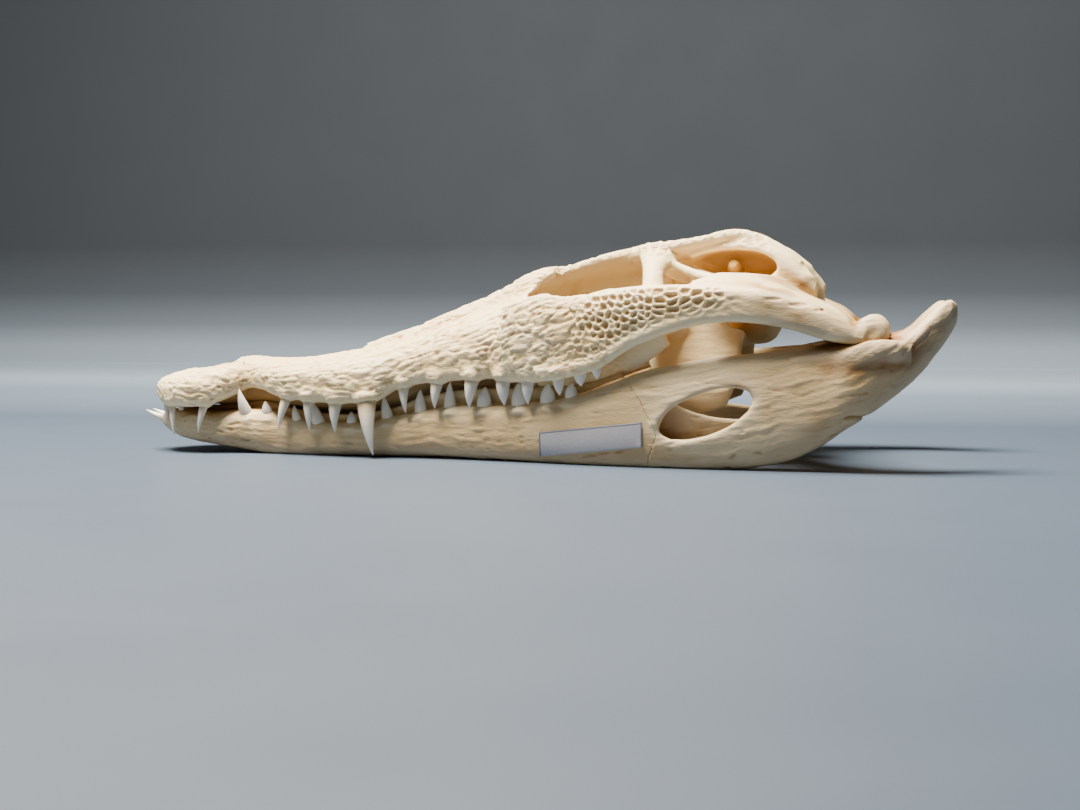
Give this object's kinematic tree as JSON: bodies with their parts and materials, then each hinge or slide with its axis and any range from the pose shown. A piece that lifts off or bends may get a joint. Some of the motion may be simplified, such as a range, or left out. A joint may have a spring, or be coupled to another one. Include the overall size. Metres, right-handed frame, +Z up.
{
  "type": "crocodile skull",
  "caption": "Whole dry crocodile skull with the lower jaw closed under it, long pitted snout, interlocking teeth, open eye sockets and a blank paper label on the left jaw.",
  "frame": {"origin": "centre of the footprint, on the table that the lower jaw rests on", "axes": "X runs along the skull with the snout toward -X and the back of the jaw toward +X; Y is across, the skull's left side at -Y; Z is up"},
  "size_m": [0.4084, 0.1596, 0.1094],
  "materials": {
    "bone": "dry cleaned bone, matt, ivory",
    "label": "matt white paper"
  },
  "bodies": {
    "root": {"premaxilla": "bone", "maxilla_left": "bone", "maxilla_right": "bone", "skull_roof": "bone", "skull_table": "bone", "braincase": "bone", "quadrate_left": "bone", "quadrate_right": "bone", "jugal_left": "bone", "jugal_right": "bone", "palate": "bone", "pterygoid_left": "bone", "pterygoid_right": "bone", "dentary_left": "bone", "dentary_right": "bone", "jaw_back_left": "bone", "jaw_back_right": "bone", "label": "label"}
  },
  "joints": []
}
